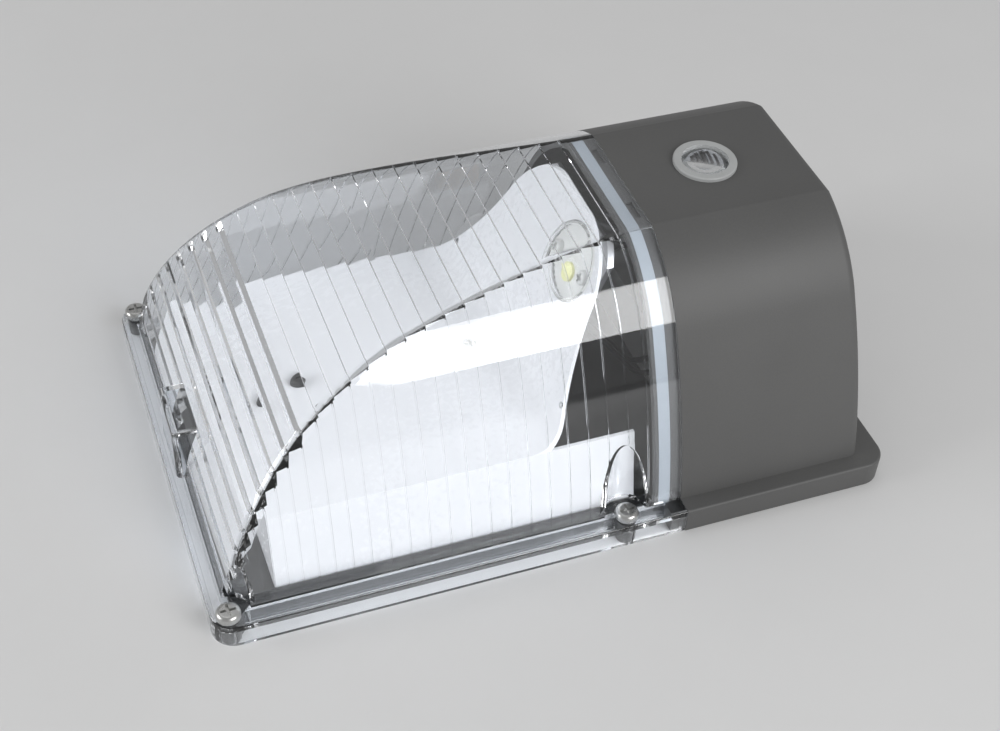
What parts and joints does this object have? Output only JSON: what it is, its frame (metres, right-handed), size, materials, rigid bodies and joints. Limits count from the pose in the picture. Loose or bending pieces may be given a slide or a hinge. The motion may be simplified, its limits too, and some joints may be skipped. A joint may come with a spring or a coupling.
{
  "type": "wall pack light",
  "caption": "Small outdoor LED wall pack: dark die-cast hood, clear prismatic lens over a white reflector, four lens screws and a photocell on the front.",
  "frame": {"origin": "centre of the flat mounting face on the back of the fixture", "axes": "+X along the length towards the hood, +Y across the width, +Z straight out of the wall"},
  "size_m": [0.238, 0.156, 0.0952],
  "materials": {
    "bronze_coat": "fine textured dark bronze powder coat",
    "clear_lens": "clear moulded polycarbonate with prisms inside",
    "white_reflector": "gloss white enamel",
    "zinc_screw": "zinc plated steel",
    "black_screw": "black coated steel",
    "green_screw": "green coated steel",
    "gasket_rubber": "soft black rubber",
    "pale_silicone": "soft pale grey silicone",
    "aluminium_plate": "bare mill finish",
    "board_white": "white solder mask",
    "phosphor": "pale yellow phosphor",
    "clear_optic": "clear silicone",
    "driver_shell": "matte white",
    "potting": "dark potting resin",
    "photocell_plastic": "pale grey moulded plastic",
    "photocell_clear": "clear moulded plastic",
    "photocell_cell": "light sensor face",
    "nut_plastic": "black nylon",
    "lead_jacket": "insulated copper lead",
    "connector_plastic": "orange plastic"
  },
  "bodies": {
    "fixture": {"housing": "bronze_coat", "lens_gasket": "gasket_rubber", "collar_gasket": "pale_silicone", "reflector": "white_reflector", "reflector_screw": "black_screw", "ramp_screw": "zinc_screw", "led_bracket": "aluminium_plate", "bracket_screws": "zinc_screw", "led_board": "board_white", "led_emitter": "phosphor", "led_dome": "clear_optic", "led_screws": "zinc_screw", "driver_case": "driver_shell", "driver_lid": "driver_shell", "driver_circuit": "potting", "driver_screws": "zinc_screw", "photocell_body": "photocell_plastic", "photocell_lens": "photocell_clear", "photocell_sensor": "photocell_cell", "photocell_gasket": "gasket_rubber", "photocell_nut": "nut_plastic", "photocell_leads": "lead_jacket", "driver_input_leads": "lead_jacket", "driver_output_leads": "lead_jacket", "wire_connectors": "connector_plastic", "wire_entry_grommet": "gasket_rubber", "ground_screw": "green_screw"},
    "lens_cover": {"lens": "clear_lens", "lens_screws": "zinc_screw"}
  },
  "joints": [
    {"name": "lens_lift_off", "type": "slide", "parent": "fixture", "child": "lens_cover", "axis": [0, 0, 1], "range_m": [0, 0.12]}
  ]
}
